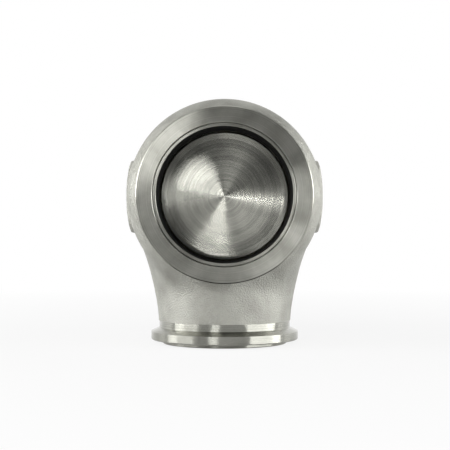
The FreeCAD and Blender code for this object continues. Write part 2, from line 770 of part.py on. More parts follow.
def write_steps():
    """Recompute, check every object and every piece's solid, and write one STEP file per piece."""
    doc.recompute()
    faults = [thing.Name for thing in doc.Objects if {"Invalid", "Error"} & set(thing.State)]
    faults += [node for node, body in pieces.items() if body.Shape.isNull() or not body.Shape.isValid()]
    if faults:
        raise RuntimeError(f"not written, failed: {faults}")
    os.makedirs("parts", exist_ok=True)
    for node, body in pieces.items():
        body.Shape.exportStep(f"parts/{node}.step")
        print(f"{node}: {len(body.Shape.Solids)} solid(s), {body.Shape.Volume / 1000:.2f} cm3")


make_valve_body()
make_seat_ring()
make_valve()
make_guide_parts()
make_heat_gasket()
make_actuator_base()
make_port_plug()
make_gland_parts()
make_diaphragm()
make_retainers()
make_stem_fasteners()
make_springs()
make_actuator_cap()
make_screws()
write_steps()
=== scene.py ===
import bpy
import bmesh
import math
import numpy as np
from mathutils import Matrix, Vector, noise


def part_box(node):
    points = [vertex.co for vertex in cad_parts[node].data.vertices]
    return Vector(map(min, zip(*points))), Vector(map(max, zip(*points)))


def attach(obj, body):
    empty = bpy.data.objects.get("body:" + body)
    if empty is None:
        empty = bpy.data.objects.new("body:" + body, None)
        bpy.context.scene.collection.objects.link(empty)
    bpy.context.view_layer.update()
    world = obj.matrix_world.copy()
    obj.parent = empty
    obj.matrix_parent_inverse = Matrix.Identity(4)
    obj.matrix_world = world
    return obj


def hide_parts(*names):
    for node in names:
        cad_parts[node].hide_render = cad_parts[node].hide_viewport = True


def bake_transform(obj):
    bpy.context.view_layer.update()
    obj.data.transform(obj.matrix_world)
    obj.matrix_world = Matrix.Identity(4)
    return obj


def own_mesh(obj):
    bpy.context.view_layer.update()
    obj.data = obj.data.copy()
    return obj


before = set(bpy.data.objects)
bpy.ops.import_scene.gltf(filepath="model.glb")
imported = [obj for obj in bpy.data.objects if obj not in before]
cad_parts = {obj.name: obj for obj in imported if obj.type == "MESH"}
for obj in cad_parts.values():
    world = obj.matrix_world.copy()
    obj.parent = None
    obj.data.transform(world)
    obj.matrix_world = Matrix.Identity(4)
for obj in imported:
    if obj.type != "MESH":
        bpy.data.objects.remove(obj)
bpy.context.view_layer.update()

# All sizes are in metres.  The valve's axis runs along Y through the middle of the seat ring.
MM = 0.001
ring_low, ring_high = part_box("seat_ring")
AXIS_Z = (ring_low.z + ring_high.z) / 2
INLET_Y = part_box("valve_body")[0].y
VALVE_AXIS = (0.0, 0.0, AXIS_Z)
OUTLET_AXIS = (0.0, 0.0, 0.0)


def linear(hex_colour):
    """An sRGB hex value as the linear colour that a shader takes."""
    values = [int(hex_colour[start:start + 2], 16) / 255 for start in (0, 2, 4)]
    return tuple(v / 12.92 if v <= 0.04045 else ((v + 0.055) / 1.055) ** 2.4 for v in values) + (1.0,)


def add(tree, kind, inputs=None, **settings):
    """Add a node, set its properties, and set or link its inputs by name or number."""
    node = tree.nodes.new(kind)
    for name, value in settings.items():
        setattr(node, name, value)
    for name, value in (inputs or {}).items():
        if isinstance(value, bpy.types.NodeSocket):
            tree.links.new(value, node.inputs[name])
        else:
            node.inputs[name].default_value = value
    return node


def new_material(name):
    """An empty node material and its tree."""
    material = bpy.data.materials.new(name)
    material.use_nodes = True
    material.node_tree.nodes.clear()
    return material, material.node_tree


# Painted shade: a bore's wall painted matt black where the gap round the valve's nose is dark, and the width
# over which it gives way to bare metal.
BORE_SHADE = "070706"
BORE_SHADE_ROUGHNESS, BORE_SHADE_FADE = 0.8, 0.2 * MM
# Painted shade, a dark line along the underside of a rim's edge: the heights from the axis where it starts
# and is full, and its fade outwards.
RIM_SHADE = "2A2927"
RIM_SHADE_FROM, RIM_SHADE_FULL = -28 * MM, -34 * MM
RIM_SHADE_FADE = 0.1 * MM
# Width over which a chamfer's lean sets in.
EDGE_FADE = 0.1 * MM
# A tool mark's depth, as a share of the distance between marks.
MARK_DEPTH = 0.2


def turned_metal(name, axis, centre, grain, colours, roughness, lean=0.0, metallic=1.0, smear=1.0, bore_shade=0.0,
                 edge=None, rim_shade=0.0):
    """Metal turned in a lathe: fine concentric tool marks round an axis, Y or Z, through a centre.

    A facing cut's marks lie about 0.1 mm apart.  They are drawn 0.2 to 0.9 mm apart, so that they show.

    Tool marks run round the axis, so light smears across them into bright and dark sectors.  lean tips the
    surface outwards, as a facing cut that leaves a very flat cone does.  Inside the radius of its bore shade,
    a bore's wall is matt black: painted shade where the gap round the valve's nose is dark.  edge is a radius
    and the lean beyond it, which softens a chamfer there.  Beyond the radius of its rim shade, the underside
    of a rim's edge well below the axis is dark: painted shade."""
    material, tree = new_material(name)
    place = add(tree, "ShaderNodeTexCoord").outputs["Object"]
    away = add(tree, "ShaderNodeVectorMath", {0: place, 1: tuple(-c for c in centre)},
               operation="ADD").outputs[0]
    along = (0, 1, 0) if axis == "Y" else (0, 0, 1)
    round_axis = add(tree, "ShaderNodeVectorMath", {0: along, 1: away}, operation="CROSS_PRODUCT").outputs[0]
    flat = add(tree, "ShaderNodeVectorMath", {0: away, 1: tuple(1 - a for a in along)},
               operation="MULTIPLY").outputs[0]
    radius = add(tree, "ShaderNodeVectorMath", {0: flat}, operation="LENGTH").outputs["Value"]
    station = add(tree, "ShaderNodeVectorMath", {0: away, 1: along}, operation="DOT_PRODUCT").outputs["Value"]
    rings = add(tree, "ShaderNodeCombineXYZ", {"X": radius, "Y": station}).outputs[0]
    marks = add(tree, "ShaderNodeTexNoise", {"Vector": rings, "Scale": 1 / grain, "Detail": 3.0,
                                             "Roughness": 0.6}).outputs["Fac"]
    worn = add(tree, "ShaderNodeTexNoise", {"Vector": place, "Scale": 90.0, "Detail": 4.0}).outputs["Fac"]
    rough = add(tree, "ShaderNodeMapRange", {"Value": marks, "From Min": 0.3, "From Max": 0.7,
                                             "To Min": roughness * 0.94,
                                             "To Max": roughness * 1.06}).outputs[0]
    blend = add(tree, "ShaderNodeMath", {0: marks, 1: worn}, operation="MULTIPLY").outputs[0]
    tint = add(tree, "ShaderNodeMapRange", {"Value": blend, "From Min": 0.15, "From Max": 0.35}).outputs[0]
    colour = add(tree, "ShaderNodeMix", {0: tint, 6: linear(colours[0]), 7: linear(colours[1])},
                 data_type="RGBA").outputs[2]
    bump = add(tree, "ShaderNodeBump", {"Height": marks, "Strength": 0.08, "Distance": grain * MARK_DEPTH})
    normal = bump.outputs[0]
    if lean:
        slope = lean
        if edge:
            slope = add(tree, "ShaderNodeMapRange", {"Value": radius, "From Min": edge[0],
                                                     "From Max": edge[0] + EDGE_FADE,
                                                     "To Min": lean, "To Max": edge[1]}).outputs[0]
        outward = add(tree, "ShaderNodeVectorMath", {0: flat}, operation="NORMALIZE").outputs[0]
        tip = add(tree, "ShaderNodeVectorMath", {0: outward, "Scale": slope}, operation="SCALE").outputs[0]
        tipped = add(tree, "ShaderNodeVectorMath", {0: normal, 1: tip}, operation="ADD").outputs[0]
        normal = add(tree, "ShaderNodeVectorMath", {0: tipped}, operation="NORMALIZE").outputs[0]
    bare_metal = metallic
    # Painted shade: inside the radius, a bore's wall is matt black, where the gap round the valve's nose is
    # dark.
    if bore_shade:
        unshaded = add(tree, "ShaderNodeMapRange", {"Value": radius, "From Min": bore_shade,
                                                 "From Max": bore_shade + BORE_SHADE_FADE}).outputs[0]
        colour = add(tree, "ShaderNodeMix", {0: unshaded, 6: linear(BORE_SHADE), 7: colour},
                     data_type="RGBA").outputs[2]
        bare_metal = add(tree, "ShaderNodeMath", {0: unshaded, 1: metallic}, operation="MULTIPLY").outputs[0]
        rough = add(tree, "ShaderNodeMix", {0: unshaded, 2: BORE_SHADE_ROUGHNESS, 3: rough}).outputs[0]
    # Painted shade: the lower part of a rim's edge, well below the axis, is dark.
    if rim_shade:
        height = add(tree, "ShaderNodeSeparateXYZ", {0: away}).outputs["Z"]
        under = add(tree, "ShaderNodeMapRange", {"Value": height, "From Min": RIM_SHADE_FROM,
                                                 "From Max": RIM_SHADE_FULL}).outputs[0]
        outer = add(tree, "ShaderNodeMapRange", {"Value": radius, "From Min": rim_shade,
                                                 "From Max": rim_shade + RIM_SHADE_FADE}).outputs[0]
        rim_shaded = add(tree, "ShaderNodeMath", {0: under, 1: outer}, operation="MULTIPLY").outputs[0]
        colour = add(tree, "ShaderNodeMix", {0: rim_shaded, 6: colour, 7: linear(RIM_SHADE)},
                     data_type="RGBA").outputs[2]
    metal = add(tree, "ShaderNodeBsdfPrincipled", {
        "Base Color": colour,
        "Metallic": bare_metal,
        "Roughness": rough,
        "Anisotropic": smear,
        "Anisotropic Rotation": 0.25,
        "Specular IOR Level": 0.1 if bore_shade else 0.5,
        "Tangent": round_axis,
        "Normal": normal,
    })
    add(tree, "ShaderNodeOutputMaterial", {"Surface": metal.outputs[0]})
    return material


def plain_metal(name, colours, roughness, grain, metallic=1.0, bump_depth=0.02):
    """Drawn, plated or blackened metal: two tones in soft clouds and a fine even grain."""
    material, tree = new_material(name)
    place = add(tree, "ShaderNodeTexCoord").outputs["Object"]
    cloud = add(tree, "ShaderNodeTexNoise", {"Vector": place, "Scale": 1 / (grain * 12), "Detail": 5.0,
                                             "Roughness": 0.6}).outputs["Fac"]
    fine = add(tree, "ShaderNodeTexNoise", {"Vector": place, "Scale": 1 / grain,
                                            "Detail": 2.0}).outputs["Fac"]
    tint = add(tree, "ShaderNodeMapRange", {"Value": cloud, "From Min": 0.35, "From Max": 0.65}).outputs[0]
    base = add(tree, "ShaderNodeMix", {0: tint, 6: linear(colours[0]), 7: linear(colours[1])},
               data_type="RGBA")
    rough = add(tree, "ShaderNodeMapRange", {"Value": cloud, "From Min": 0.3, "From Max": 0.7,
                                             "To Min": roughness * 0.85,
                                             "To Max": roughness * 1.15}).outputs[0]
    bump = add(tree, "ShaderNodeBump", {"Height": fine, "Strength": 0.3, "Distance": bump_depth * MM})
    metal = add(tree, "ShaderNodeBsdfPrincipled", {
        "Base Color": base.outputs[2],
        "Metallic": metallic,
        "Roughness": rough,
        "Normal": bump.outputs[0],
    })
    add(tree, "ShaderNodeOutputMaterial", {"Surface": metal.outputs[0]})
    return material


def moulded_rubber(name, colours, roughness):
    """Moulded rubber: dull, with a faint bloom in soft clouds."""
    material, tree = new_material(name)
    place = add(tree, "ShaderNodeTexCoord").outputs["Object"]
    bloom = add(tree, "ShaderNodeTexNoise", {"Vector": place, "Scale": 1 / (3 * MM),
                                             "Detail": 5.0}).outputs["Fac"]
    base = add(tree, "ShaderNodeMix", {0: bloom, 6: linear(colours[0]), 7: linear(colours[1])},
               data_type="RGBA")
    bump = add(tree, "ShaderNodeBump", {"Height": bloom, "Strength": 0.2, "Distance": 0.05 * MM})
    rubber = add(tree, "ShaderNodeBsdfPrincipled", {
        "Base Color": base.outputs[2],
        "Roughness": roughness,
        "Specular IOR Level": 0.35,
        "Normal": bump.outputs[0],
    })
    add(tree, "ShaderNodeOutputMaterial", {"Surface": rubber.outputs[0]})
    return material


def coated_cloth(name, colours, thread):
    """Woven cloth under a thin rubber skin: dull, with the weave printed through."""
    material, tree = new_material(name)
    place = add(tree, "ShaderNodeTexCoord").outputs["Object"]
    warp = add(tree, "ShaderNodeTexWave", {"Vector": place, "Scale": 1 / (20 * thread), "Distortion": 0.6},
               bands_direction="X").outputs["Fac"]
    weft = add(tree, "ShaderNodeTexWave", {"Vector": place, "Scale": 1 / (20 * thread), "Distortion": 0.6},
               bands_direction="Z").outputs["Fac"]
    weave = add(tree, "ShaderNodeMath", {0: warp, 1: weft}, operation="MAXIMUM").outputs[0]
    base = add(tree, "ShaderNodeMix", {0: weave, 6: linear(colours[0]), 7: linear(colours[1])},
               data_type="RGBA")
    bump = add(tree, "ShaderNodeBump", {"Height": weave, "Strength": 0.4, "Distance": thread * 0.2})
    cloth = add(tree, "ShaderNodeBsdfPrincipled", {
        "Base Color": base.outputs[2],
        "Roughness": 0.55,
        "Specular IOR Level": 0.4,
        "Normal": bump.outputs[0],
    })
    add(tree, "ShaderNodeOutputMaterial", {"Surface": cloth.outputs[0]})
    return material


def cast_steel(name):
    """Investment-cast stainless steel, bead blasted: an even pale grey with a fine orange-peel grain.

    A blasting bead leaves a dimple of about 0.1 mm.  It is drawn 0.25 mm across, so that it shows."""
    material, tree = new_material(name)
    place = add(tree, "ShaderNodeTexCoord").outputs["Object"]
    peel = add(tree, "ShaderNodeTexNoise", {"Vector": place, "Scale": 1 / (0.65 * MM), "Detail": 2.0,
                                            "Roughness": 0.55}).outputs["Fac"]
    beads = add(tree, "ShaderNodeTexNoise", {"Vector": place, "Scale": 1 / (0.25 * MM),
                                             "Detail": 2.0}).outputs["Fac"]
    cloud = add(tree, "ShaderNodeTexNoise", {"Vector": place, "Scale": 1 / (14 * MM),
                                             "Detail": 3.0}).outputs["Fac"]
    height = add(tree, "ShaderNodeMath", {0: beads, 1: 0.35, 2: peel}, operation="MULTIPLY_ADD").outputs[0]
    bump = add(tree, "ShaderNodeBump", {"Height": height, "Strength": 1.0, "Distance": 0.42 * MM})
    shade = add(tree, "ShaderNodeMapRange", {"Value": cloud, "From Min": 0.35, "From Max": 0.65}).outputs[0]
    base = add(tree, "ShaderNodeMix", {0: shade, 6: linear("9B9B94"), 7: linear("B1B1AA")}, data_type="RGBA")
    rough = add(tree, "ShaderNodeMapRange", {"Value": peel, "From Min": 0.3, "From Max": 0.7,
                                              "To Min": 0.48, "To Max": 0.60}).outputs[0]
    steel = add(tree, "ShaderNodeBsdfPrincipled", {
        "Base Color": base.outputs[2],
        "Metallic": 1.0,
        "Roughness": rough,
        "Normal": bump.outputs[0],
    })
    add(tree, "ShaderNodeOutputMaterial", {"Surface": steel.outputs[0]})
    return material


# Bead-blasted cast stainless: soft, pale and even, with no sharp reflections.
cast = cast_steel("blasted_cast_stainless")
# Faced stainless at the inlet and behind: broad light and dark sectors round the bore, and painted shade
# along the lower part of the rim's edge.
turned_inlet = turned_metal("turned_stainless_inlet", "Y", VALVE_AXIS, 0.5 * MM, ("95958D", "BABAB2"), 0.29,
                            lean=0.03, rim_shade=40.3 * MM)
# The seat insert's faced lip is as bright as the flange, and its bore is painted matt black: painted shade
# for the dark gap round the valve's nose.
turned_seat = turned_metal("turned_stainless_seat", "Y", VALVE_AXIS, 0.5 * MM, ("95958D", "BABAB2"), 0.29,
                           bore_shade=31.3 * MM)
# The outlet's V-band rim, turned finer: bright and dark blocks side by side round it.
turned_outlet = turned_metal("turned_stainless_outlet", "Z", OUTLET_AXIS, 0.3 * MM, ("9F9F97", "B7B7AF"),
                             0.24)
# The valve's face, cut with a coarse feed to a very flat cone: rings, and bright wedges from the middle.
turned_nose = turned_metal("turned_stainless_nose", "Y", VALVE_AXIS, 0.9 * MM, ("91918A", "B7B7AE"), 0.25,
                           lean=0.14, edge=(27.2 * MM, -0.38))
# Guide bronze is reamed and turned: warm brown gold with a dull edge.
bronze = turned_metal("turned_bronze", "Y", VALVE_AXIS, 0.2 * MM, ("8A6436", "A87E48"), 0.36, smear=0.6)
# Dyed anodic film over turned aluminium: near black, satin, with the tool marks just showing.
anodised = turned_metal("black_anodised_aluminium", "Y", VALVE_AXIS, 0.3 * MM, ("1B1B1D", "29292C"), 0.34,
                        metallic=0.7, smear=0.7)
# Bare turned aluminium: whiter and softer than the steel.
aluminium = turned_metal("turned_aluminium", "Y", VALVE_AXIS, 0.25 * MM, ("A9AAAC", "C2C3C5"), 0.32,
                         smear=0.8)
# Cold-rolled sheet for the gasket: mid grey and satin.
gasket_steel = plain_metal("rolled_gasket_steel", ("6F6E6C", "8B8A87"), 0.38, 0.4 * MM)
# Zinc plate: bright, slightly cool and faintly cloudy.
zinc = plain_metal("zinc_plated_steel", ("9DA0A3", "BDBFBF"), 0.30, 0.3 * MM)
# Black oxide on screws: a thin, oily charcoal through which the steel still shines.
black_oxide = plain_metal("black_oxide_steel", ("1A1A1B", "2C2B2A"), 0.42, 0.25 * MM, metallic=0.8)
# Oil-tempered wire: dark brown grey, with a drawn wire's dull gleam.
oil_tempered = plain_metal("oil_tempered_spring_steel", ("2B2A2B", "47433F"), 0.33, 0.3 * MM)
# Heat-blued strip for the snap ring: a dark blue grey.
blued = plain_metal("blued_spring_steel", ("24272C", "3A3F47"), 0.35, 0.2 * MM)
# Moulded nitrile: near black, dull, with a faint bloom.
nitrile = moulded_rubber("moulded_nitrile", ("121212", "1E1E1D"), 0.5)
# Silicone on polyester cloth: brick red, with threads 0.35 mm apart showing through.
silicone_cloth = coated_cloth("silicone_coated_cloth", ("6E2A1C", "8E3C28"), 0.35 * MM)


# The casting's outer form: a domed barrel on the valve's axis and a flaring neck on the outlet's axis.
BARREL = 46.2 * MM
DOME_AT, DOME_ROUND = -19.0 * MM, 13.74 * MM
REAR_AT, REAR_ROUND = 20.0 * MM, 10.54 * MM
NECK, NECK_FLARE, NECK_TUCK = 32.3 * MM, 12.1 * MM, 2.5 * MM
FLARE_POWER = 1.5
NECK_FOOT, NECK_HEAD = 11.3 * MM, AXIS_Z - 12 * MM
# Above this far below its head, the neck's form closes inside the barrel.
NECK_FADE = 4 * MM
# The fillet between barrel and neck, at stations across the body from its middle.
FILLET_AT = (4 * MM, 18 * MM, 28 * MM, 40 * MM)
FILLET = (2 * MM, 6 * MM, 10 * MM, 2.5 * MM)
PAD_HALF, PAD_FRONT, PAD_BACK = 17.5 * MM, -15.5 * MM, 20.5 * MM
PAD_ROOT, PAD_MARGIN = 40 * MM, 0.7 * MM
# The machined ends part from the casting a hair outside their shoulders.  Lower than BELOW_FLANGE, the neck
# swells past the inlet's shoulder and isn't cut there.
SHOULDER_AT, REAR_FACE_AT = -32.0 * MM, 30.0 * MM
JOIN = 0.02 * MM
BELOW_FLANGE = AXIS_Z - 41.5 * MM
# Spacing of the casting's net, the depth that counts as its outer skin, and the margin at the machined ends.
VOXEL = 0.85 * MM
SKIN = 2.6 * MM
END_MARGIN, FOOT_MARGIN = 1.0 * MM, 1.5 * MM
# Rounds of smoothing, and how many of them take in the whole net.
RELAXATIONS, WHOLE_RELAXATIONS = 8, 2
# Steps of each pull to the skin, the reach over which its slope is measured, and the least slope that counts.
PULLS, PULL_REACH, LEAST_SLOPE = 2, 0.05 * MM, 0.05
# The slight unevenness of a casting.
RIPPLE_SPAN, RIPPLE_DEPTH = 2.6 * MM, 0.03 * MM
# Corners of the CAD mesh's loose triangles that are closer than this are one.
WELD = 0.001 * MM


def casting_field(points):
    """Signed distance, roughly, from the casting's outer skin: barrel and neck blended by a cast fillet."""
    x, y, z = points.T
    radius = np.hypot(x, z - AXIS_Z)
    front = np.hypot(radius - BARREL + DOME_ROUND, np.minimum(y - DOME_AT, 0)) - DOME_ROUND
    rear = np.hypot(radius - BARREL + REAR_ROUND, np.maximum(y - REAR_AT, 0)) - REAR_ROUND
    barrel = np.where(y < 0, front, rear)
    rise = np.clip((z - NECK_FOOT) / (NECK_HEAD - NECK_FOOT), 0, 1) ** FLARE_POWER
    half_x = NECK + NECK_FLARE * rise
    half_y = NECK - NECK_TUCK * rise
    neck = (np.hypot(x / half_x, y / half_y) - 1) * half_y
    neck += np.clip(z - NECK_HEAD + NECK_FADE, 0, None) * 2
    fillet = np.interp(np.abs(x), FILLET_AT, FILLET)
    near = np.clip(fillet - np.abs(barrel - neck), 0, None) / fillet
    return np.minimum(barrel, neck) - near ** 2 * fillet / 4


def pull_to_skin(points):
    """Move points onto the zero level of the casting's field."""
    for _ in range(PULLS):
        value = casting_field(points)
        slope = np.empty_like(points)
        for axis in range(3):
            shift = np.zeros(3)
            shift[axis] = PULL_REACH
            slope[:, axis] = casting_field(points + shift) - casting_field(points - shift)
        slope /= 2 * PULL_REACH
        length = np.maximum((slope ** 2).sum(axis=1), LEAST_SLOPE)
        points = points - slope * (value / length)[:, None]
    return points


def merged_copy(node):
    """A bmesh of a CAD node with its loose triangles merged."""
    shape = bmesh.new()
    shape.from_mesh(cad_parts[node].data)
    bmesh.ops.remove_doubles(shape, verts=shape.verts, dist=WELD)
    return shape


def cut(shape, axis, station, keep, above=-1.0):
    """Cut a bmesh at a station along an axis, keep the side with that sign, and close the cut.

    What lies lower than the height above isn't cut.  By default nothing lies that low."""
    place, normal = Vector((0, 0, 0)), Vector((0, 0, 0))
    place[axis], normal[axis] = station, keep
    faces = [face for face in shape.faces if all(vert.co.z >= above for vert in face.verts)]
    edges = {edge for face in faces for edge in face.edges}
    verts = {vert for face in faces for vert in face.verts}
    bmesh.ops.bisect_plane(shape, geom=[*verts, *edges, *faces], plane_co=place, plane_no=normal,
                           clear_inner=True)
    rim = [edge for edge in shape.edges if edge.is_boundary]
    filled = bmesh.ops.triangle_fill(shape, use_beauty=True, use_dissolve=False, edges=rim, normal=-normal)
    for part in filled["geom"]:
        if isinstance(part, bmesh.types.BMFace) and part.normal.dot(normal) > 0:
            part.normal_flip()


def mesh_piece(name, shape, body, material, sharp, replaced=None):
    """Turn a bmesh into a smooth piece whose edges past an angle in degrees are sharp.

    It rides on a body, or on none where body is None.  The CAD mesh's own normals don't fit a changed mesh,
    so they are dropped."""
    for face in shape.faces:
        face.smooth = True
    mesh = bpy.data.meshes.new(name)
    shape.to_mesh(mesh)
    shape.free()
    imported_normals = mesh.attributes.get("custom_normal")
    if imported_normals:
        mesh.attributes.remove(imported_normals)
    mesh.materials.append(material)
    mesh.set_sharp_from_angle(angle=math.radians(sharp))
    piece = bpy.data.objects.new(name, mesh)
    bpy.context.scene.collection.objects.link(piece)
    if body:
        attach(piece, body)
    if replaced:
        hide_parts(replaced)
    return piece


def voxel_copy(node, size):
    """A CAD node rebuilt as an even net of small faces."""
    mesh = bpy.data.meshes.new("casting_blank")
    shape = merged_copy(node)
    shape.to_mesh(mesh)
    shape.free()
    blank = bpy.data.objects.new("casting_blank", mesh)
    bpy.context.scene.collection.objects.link(blank)
    remesh = blank.modifiers.new("voxels", "REMESH")
    remesh.mode = "VOXEL"
    remesh.voxel_size = size
    evaluated = blank.evaluated_get(bpy.context.evaluated_depsgraph_get())
    net = bpy.data.meshes.new_from_object(evaluated)
    bpy.data.objects.remove(blank)
    bpy.data.meshes.remove(mesh)
    return net


def outer_skin(points):
    """Which points lie on the casting's outer skin, away from the pads and the machined ends."""
    x, y, z = points.T
    on_pad = (np.abs(x) > PAD_ROOT) & (np.abs(z - AXIS_Z) < PAD_HALF + PAD_MARGIN)
    on_pad &= (y > PAD_FRONT - PAD_MARGIN) & (y < PAD_BACK + PAD_MARGIN)
    outer = (casting_field(points) > -SKIN) & ~on_pad
    outer &= (y > SHOULDER_AT - END_MARGIN) & (y < REAR_FACE_AT + END_MARGIN)
    return outer & (z > NECK_FOOT - FOOT_MARGIN)


def body_casting():
    """The cast part of the valve body, with the soft fillets and the slight unevenness of a casting."""
    net = voxel_copy("valve_body", VOXEL)
    count = len(net.vertices)
    points = np.empty(count * 3)
    net.vertices.foreach_get("co", points)
    points = points.reshape(-1, 3)
    ends = np.empty(len(net.edges) * 2, np.int64)
    net.edges.foreach_get("vertices", ends)
    first, second = ends.reshape(-1, 2).T
    valence = np.bincount(first, minlength=count) + np.bincount(second, minlength=count)
    outer = outer_skin(points)
    # The first rounds smooth the whole net, and the rest only the skin, which is pulled back after each.
    for step in range(RELAXATIONS):
        total = np.zeros_like(points)
        np.add.at(total, first, points[second])
        np.add.at(total, second, points[first])
        relaxed = points + 0.5 * (total / valence[:, None] - points)
        moved = outer if step >= WHOLE_RELAXATIONS else np.ones(count, bool)
        points[moved] = relaxed[moved]
        points[outer] = pull_to_skin(points[outer])
    for index in range(count):
        points[index] += noise.noise(Vector(points[index]) / RIPPLE_SPAN) * RIPPLE_DEPTH
    net.vertices.foreach_set("co", points.ravel())
    shape = bmesh.new()
    shape.from_mesh(net)
    bpy.data.meshes.remove(net)
    cut(shape, 1, SHOULDER_AT - JOIN, 1, above=BELOW_FLANGE)
    cut(shape, 1, REAR_FACE_AT + JOIN, -1)
    cut(shape, 2, NECK_FOOT - JOIN, 1)
    mesh_piece("body_casting", shape, "housing", cast, 40, "valve_body")


def turned_part(name, axis, station, keep, material):
    """One machined end of the valve body, cut from it with its crisp profile."""
    shape = merged_copy("valve_body")
    if axis == 1:
        cut(shape, 2, BELOW_FLANGE, 1)
    cut(shape, axis, station, keep)
    mesh_piece(name, shape, "housing", material, 12)


body_casting()
turned_part("inlet_flange", 1, SHOULDER_AT - JOIN, -1, turned_inlet)
turned_part("outlet_flange", 2, NECK_FOOT - JOIN, -1, turned_outlet)
turned_part("rear_face", 1, REAR_FACE_AT + JOIN, 1, turned_inlet)

# Sides of the wire, and steps in each turn.
WIRE_SIDES, TURN_STEPS = 12, 48
# Wire radius as a share of the coil's outer radius, and the number of turns with the two closed ends.
SPRINGS = {
    "outer_spring": (2.2 / 27.4, 7.5),
    "middle_spring": (1.8 / 20.4, 8.5),
    "inner_spring": (1.4 / 14.0, 10.5),
}


def coil_tree():
    """Geometry nodes for a compression spring along Y: round wire, closed ends ground flat."""
    tree = bpy.data.node_groups.new("spring_coil", "GeometryNodeTree")
    plug = tree.interface
    plug.new_socket("Geometry", in_out="INPUT", socket_type="NodeSocketGeometry")
    for name in ("Coil Radius", "Wire Radius", "Turns", "Start", "Length"):
        plug.new_socket(name, in_out="INPUT", socket_type="NodeSocketFloat")
    plug.new_socket("Material", in_out="INPUT", socket_type="NodeSocketMaterial")
    plug.new_socket("Geometry", in_out="OUTPUT", socket_type="NodeSocketGeometry")
    size = add(tree, "NodeGroupInput").outputs
    count = add(tree, "ShaderNodeMath", {0: size["Turns"], 1: float(TURN_STEPS)},
                operation="MULTIPLY").outputs[0]
    line = add(tree, "GeometryNodeCurvePrimitiveLine", {"End": (0, 1, 0)}).outputs[0]
    path = add(tree, "GeometryNodeResampleCurve", {"Curve": line, "Count": count}).outputs[0]
    along = add(tree, "GeometryNodeSplineParameter").outputs["Factor"]
    wound = add(tree, "ShaderNodeMath", {0: along, 1: size["Turns"]}, operation="MULTIPLY").outputs[0]
    angle = add(tree, "ShaderNodeMath", {0: wound, 1: 2 * math.pi}, operation="MULTIPLY").outputs[0]
    across = add(tree, "ShaderNodeMath", {0: angle}, operation="COSINE").outputs[0]
    upward = add(tree, "ShaderNodeMath", {0: angle}, operation="SINE").outputs[0]
    x = add(tree, "ShaderNodeMath", {0: across, 1: size["Coil Radius"]}, operation="MULTIPLY").outputs[0]
    z = add(tree, "ShaderNodeMath", {0: upward, 1: size["Coil Radius"]}, operation="MULTIPLY").outputs[0]
    last = add(tree, "ShaderNodeMath", {0: size["Turns"], 1: 1.0}, operation="SUBTRACT").outputs[0]
    thick = add(tree, "ShaderNodeMath", {0: size["Wire Radius"], 1: 2.0}, operation="MULTIPLY").outputs[0]
    far = add(tree, "ShaderNodeMath", {0: size["Length"], 1: thick}, operation="SUBTRACT").outputs[0]
    climb = add(tree, "ShaderNodeMapRange", {"Value": wound, "From Min": 1.0, "From Max": last,
                                             "To Min": thick, "To Max": far}).outputs[0]
    first_turn = add(tree, "ShaderNodeMapRange", {"Value": wound, "From Min": 0.0, "From Max": 1.0,
                                                  "To Min": 0.0, "To Max": thick}).outputs[0]
    last_turn = add(tree, "ShaderNodeMapRange", {"Value": wound, "From Min": last, "From Max": size["Turns"],
                                                  "To Min": 0.0, "To Max": thick}).outputs[0]
    lifted = add(tree, "ShaderNodeMath", {0: climb, 1: first_turn}, operation="ADD").outputs[0]
    lifted = add(tree, "ShaderNodeMath", {0: lifted, 1: last_turn}, operation="ADD").outputs[0]
    lifted = add(tree, "ShaderNodeMath", {0: lifted, 1: thick}, operation="SUBTRACT").outputs[0]
    y = add(tree, "ShaderNodeMath", {0: lifted, 1: size["Start"]}, operation="ADD").outputs[0]
    height = add(tree, "ShaderNodeMath", {0: z, 1: AXIS_Z}, operation="ADD").outputs[0]
    place = add(tree, "ShaderNodeCombineXYZ", {"X": x, "Y": y, "Z": height}).outputs[0]
    helix = add(tree, "GeometryNodeSetPosition", {"Geometry": path, "Position": place}).outputs[0]
    wire = add(tree, "GeometryNodeCurvePrimitiveCircle", {"Resolution": WIRE_SIDES,
                                                          "Radius": size["Wire Radius"]})
    coil = add(tree, "GeometryNodeCurveToMesh", {"Curve": helix, "Profile Curve": wire.outputs[0],
                                                  "Fill Caps": True}).outputs[0]
    spot = add(tree, "ShaderNodeSeparateXYZ", {0: add(tree, "GeometryNodeInputPosition").outputs[0]}).outputs
    end = add(tree, "ShaderNodeMath", {0: size["Start"], 1: size["Length"]}, operation="ADD").outputs[0]
    ground = add(tree, "ShaderNodeClamp", {"Value": spot["Y"], "Min": size["Start"], "Max": end}).outputs[0]
    flat = add(tree, "ShaderNodeCombineXYZ", {"X": spot["X"], "Y": ground, "Z": spot["Z"]}).outputs[0]
    coil = add(tree, "GeometryNodeSetPosition", {"Geometry": coil, "Position": flat}).outputs[0]
    coil = add(tree, "GeometryNodeSetMaterial", {"Geometry": coil, "Material": size["Material"]}).outputs[0]
    coil = add(tree, "GeometryNodeRealizeInstances", {"Geometry": coil}).outputs[0]
    add(tree, "NodeGroupOutput", {"Geometry": coil})
    return tree


def grown_piece(name, tree, sizes):
    """An object with the plain mesh that a geometry tree makes for a set of named sizes."""
    seed = bpy.data.objects.new(name, bpy.data.meshes.new(name))
    bpy.context.scene.collection.objects.link(seed)
    maker = seed.modifiers.new("maker", "NODES")
    maker.node_group = tree
    for socket in tree.interface.items_tree:
        if socket.in_out == "INPUT" and socket.name in sizes:
            maker[socket.identifier] = sizes[socket.name]
    evaluated = seed.evaluated_get(bpy.context.evaluated_depsgraph_get())
    mesh = bpy.data.meshes.new_from_object(evaluated)
    seed.modifiers.remove(maker)
    seed.data = mesh
    return seed


